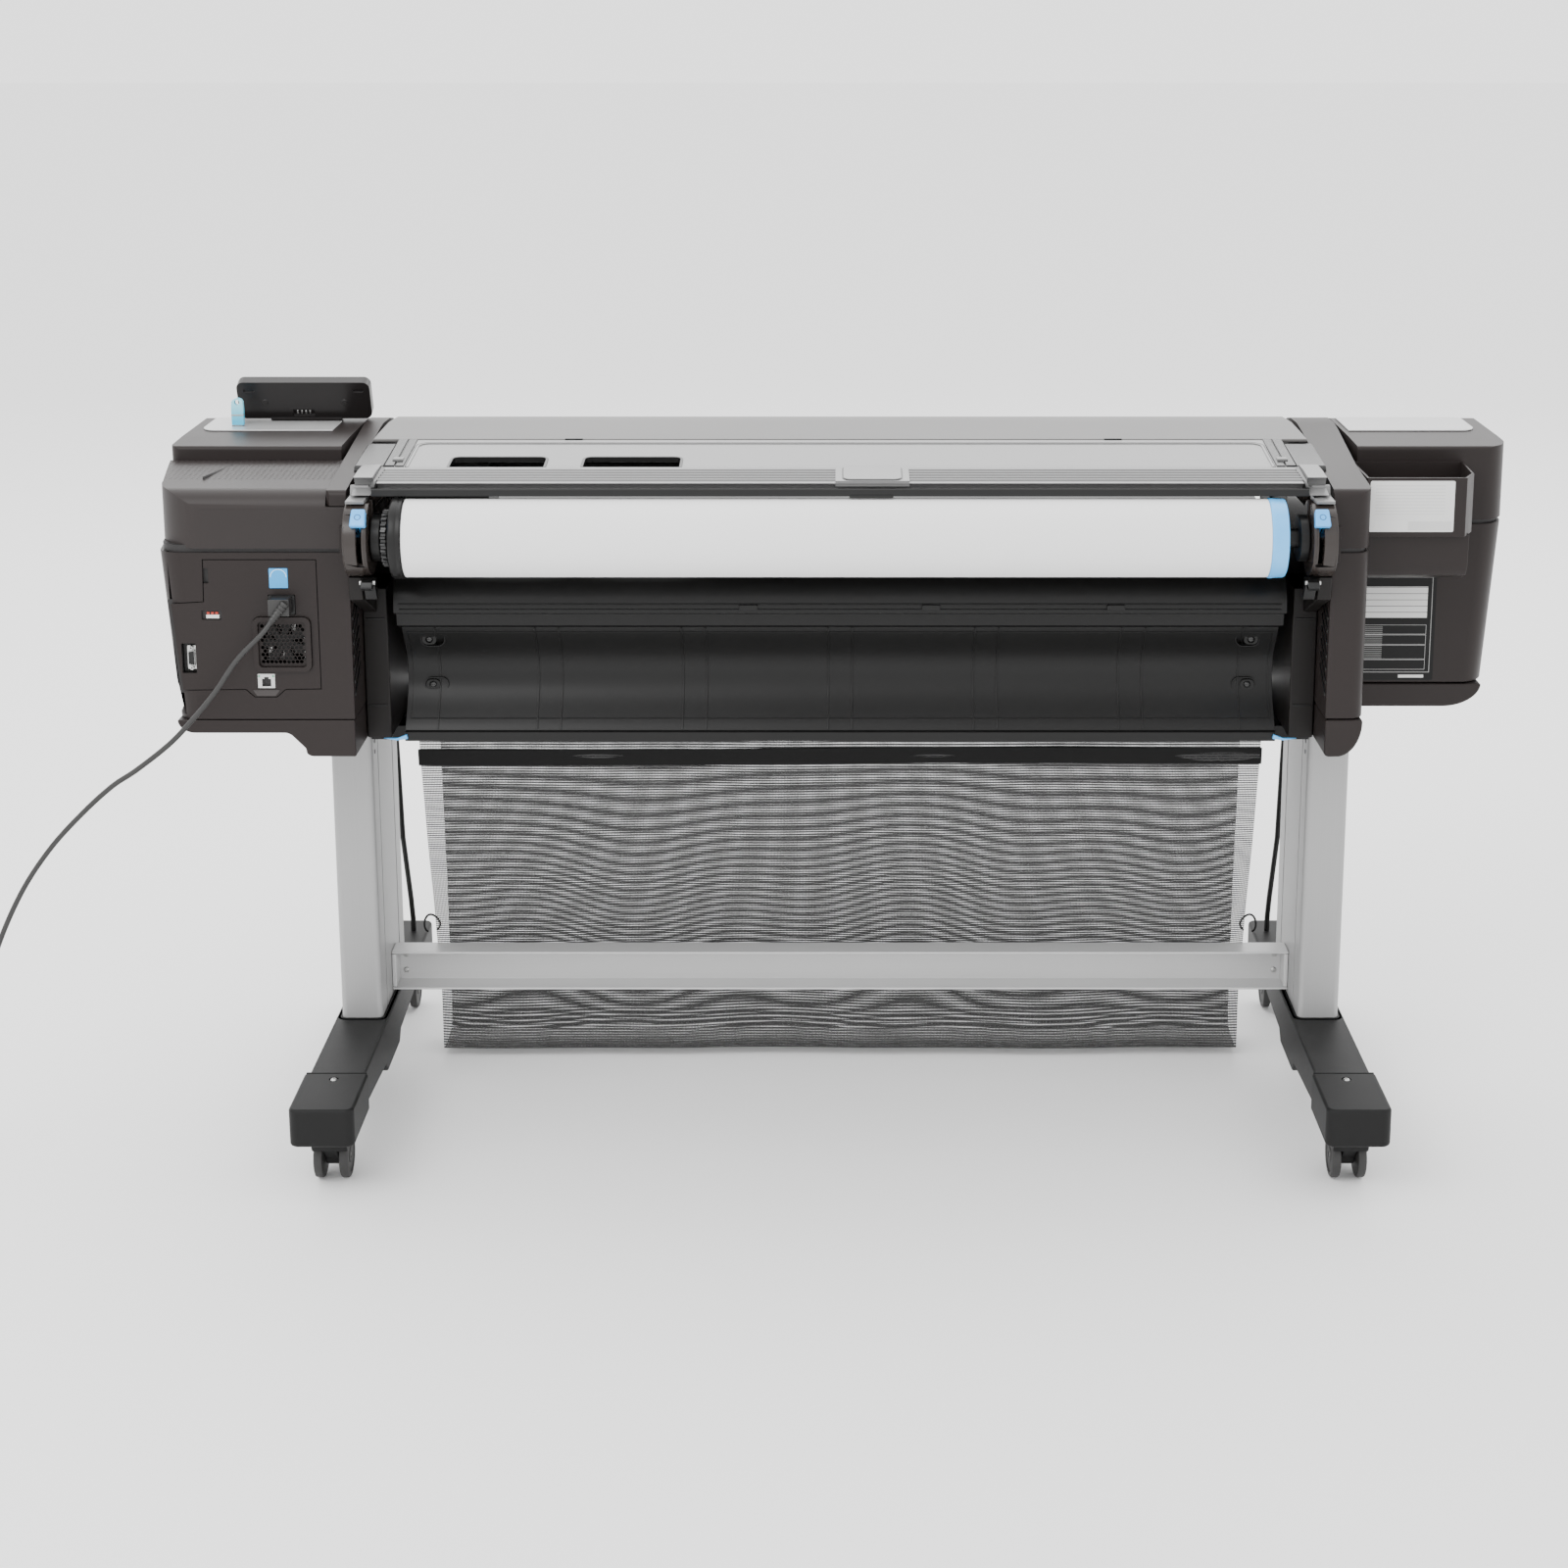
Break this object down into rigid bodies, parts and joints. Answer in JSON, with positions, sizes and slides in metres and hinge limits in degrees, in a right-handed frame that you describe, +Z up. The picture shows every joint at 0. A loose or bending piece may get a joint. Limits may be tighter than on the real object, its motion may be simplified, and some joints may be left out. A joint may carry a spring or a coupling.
{
  "type": "large format plotter",
  "caption": "Wide printer on a wheeled stand with a rear paper roll, lift-up roll cover and window, tilting control panel, connector plate, mains lead and a cloth basket for prints.",
  "frame": {"origin": "on the floor under the middle of the machine, measured without its mains lead", "axes": "+Z up, -Y towards the side that the paper roll is loaded from, +X towards the ink box"},
  "size_m": [2.1985, 0.6944, 0.998],
  "materials": {
    "housing_plastic": "fine grained warm dark grey",
    "bay_black_plastic": "satin black",
    "foot_plastic": "satin dark grey",
    "anodised_aluminium": "fine brushed, clear anodised",
    "silver_inlay": "satin silver",
    "smoked_window": "polished smoked grey",
    "paper": "matt white",
    "touch_point_blue": "semi-gloss light blue",
    "mesh_cloth": "open woven mesh",
    "spring_steel": "black painted",
    "cord_rubber": "matt black",
    "port_metal": "tinned"
  },
  "bodies": {
    "chassis": {"left_foot": "foot_plastic", "right_foot": "foot_plastic", "left_rear_foot_cap": "foot_plastic", "left_front_foot_cap": "foot_plastic", "right_rear_foot_cap": "foot_plastic", "right_front_foot_cap": "foot_plastic", "left_post": "anodised_aluminium", "right_post": "anodised_aluminium", "cross_beam": "anodised_aluminium", "base_tray": "bay_black_plastic", "basket_cloth": "mesh_cloth", "basket_frame": "spring_steel", "electronics_housing": "housing_plastic", "connector_plate": "housing_plastic", "fan_grille": "housing_plastic", "shoulder_cover": "housing_plastic", "left_top_cover": "housing_plastic", "left_bottom_cover": "housing_plastic", "left_arm_cover": "housing_plastic", "ink_housing": "housing_plastic", "right_arm_cover": "housing_plastic", "right_top_cover": "housing_plastic", "right_bottom_cover": "housing_plastic", "storage_pocket": "housing_plastic", "front_top_cover": "housing_plastic", "front_lower_cover": "housing_plastic", "left_spindle_holder": "housing_plastic", "right_spindle_holder": "housing_plastic", "left_inlay": "silver_inlay", "right_inlay": "silver_inlay", "power_inlet": "bay_black_plastic", "print_beam": "bay_black_plastic", "left_side_frame": "bay_black_plastic", "right_side_frame": "bay_black_plastic", "roll_guide": "bay_black_plastic", "roll_bay_panel": "bay_black_plastic", "port_board": "port_metal", "inlet_plug": "cord_rubber", "power_cord": "cord_rubber", "cord_coil": "cord_rubber", "mains_plug": "cord_rubber"},
    "roll": {"spindle": "bay_black_plastic", "paper_roll": "paper", "blue_flange": "touch_point_blue"},
    "roll_lid": {"roll_cover": "smoked_window"},
    "window": {"window_cover": "smoked_window"},
    "left_lever": {"left_latch_lever": "touch_point_blue"},
    "right_lever": {"right_latch_lever": "touch_point_blue"},
    "panel": {"control_panel": "bay_black_plastic"},
    "memory_stick": {"usb_stick": "touch_point_blue"},
    "carriage": {"print_carriage": "bay_black_plastic"},
    "fan": {"fan_rotor": "bay_black_plastic"},
    "left_rear_swivel": {"left_rear_caster_fork": "foot_plastic"},
    "left_rear_wheels": {"left_rear_caster_wheels": "foot_plastic"},
    "left_front_swivel": {"left_front_caster_fork": "foot_plastic"},
    "left_front_wheels": {"left_front_caster_wheels": "foot_plastic"},
    "right_rear_swivel": {"right_rear_caster_fork": "foot_plastic"},
    "right_rear_wheels": {"right_rear_caster_wheels": "foot_plastic"},
    "right_front_swivel": {"right_front_caster_fork": "foot_plastic"},
    "right_front_wheels": {"right_front_caster_wheels": "foot_plastic"}
  },
  "joints": [
    {"name": "roll_spin", "type": "hinge", "parent": "chassis", "child": "roll", "pos_m": [0, -0.2, 0.8505], "axis": [1, 0, 0], "continuous": true},
    {"name": "roll_cover_hinge", "type": "hinge", "parent": "chassis", "child": "roll_lid", "pos_m": [0, -0.116, 0.921], "axis": [-1, 0, 0], "range_deg": [0, 80]},
    {"name": "window_hinge", "type": "hinge", "parent": "chassis", "child": "window", "pos_m": [0, -0.098, 0.92], "axis": [1, 0, 0], "range_deg": [0, 75]},
    {"name": "left_latch_turn", "type": "hinge", "parent": "chassis", "child": "left_lever", "pos_m": [-0.609, -0.2, 0.8505], "axis": [1, 0, 0], "range_deg": [0, 65]},
    {"name": "right_latch_turn", "type": "hinge", "parent": "chassis", "child": "right_lever", "pos_m": [0.609, -0.2, 0.8505], "axis": [1, 0, 0], "range_deg": [0, 65]},
    {"name": "panel_tilt", "type": "hinge", "parent": "chassis", "child": "panel", "pos_m": [-0.7545, 0.183, 0.945], "axis": [-1, 0, 0], "range_deg": [0, 25]},
    {"name": "memory_stick_pull", "type": "slide", "parent": "chassis", "child": "memory_stick", "axis": [0, 0, 1], "range_m": [0, 0.02]},
    {"name": "carriage_travel", "type": "slide", "parent": "chassis", "child": "carriage", "axis": [1, 0, 0], "range_m": [0, 1.06]},
    {"name": "fan_spin", "type": "hinge", "parent": "chassis", "child": "fan", "pos_m": [-0.7229, -0.173, 0.7072], "axis": [0, 1, 0], "continuous": true},
    {"name": "left_rear_caster_swivel", "type": "hinge", "parent": "chassis", "child": "left_rear_swivel", "pos_m": [-0.6695, -0.292, 0.06], "axis": [0, 0, 1], "continuous": true},
    {"name": "left_rear_wheel_spin", "type": "hinge", "parent": "left_rear_swivel", "child": "left_rear_wheels", "pos_m": [-0.6695, -0.267, 0.03], "axis": [1, 0, 0], "continuous": true},
    {"name": "left_front_caster_swivel", "type": "hinge", "parent": "chassis", "child": "left_front_swivel", "pos_m": [-0.6695, 0.292, 0.06], "axis": [0, 0, 1], "continuous": true},
    {"name": "left_front_wheel_spin", "type": "hinge", "parent": "left_front_swivel", "child": "left_front_wheels", "pos_m": [-0.6695, 0.317, 0.03], "axis": [1, 0, 0], "continuous": true},
    {"name": "right_rear_caster_swivel", "type": "hinge", "parent": "chassis", "child": "right_rear_swivel", "pos_m": [0.6695, -0.292, 0.06], "axis": [0, 0, 1], "continuous": true},
    {"name": "right_rear_wheel_spin", "type": "hinge", "parent": "right_rear_swivel", "child": "right_rear_wheels", "pos_m": [0.6695, -0.267, 0.03], "axis": [1, 0, 0], "continuous": true},
    {"name": "right_front_caster_swivel", "type": "hinge", "parent": "chassis", "child": "right_front_swivel", "pos_m": [0.6695, 0.292, 0.06], "axis": [0, 0, 1], "continuous": true},
    {"name": "right_front_wheel_spin", "type": "hinge", "parent": "right_front_swivel", "child": "right_front_wheels", "pos_m": [0.6695, 0.317, 0.03], "axis": [1, 0, 0], "continuous": true}
  ]
}
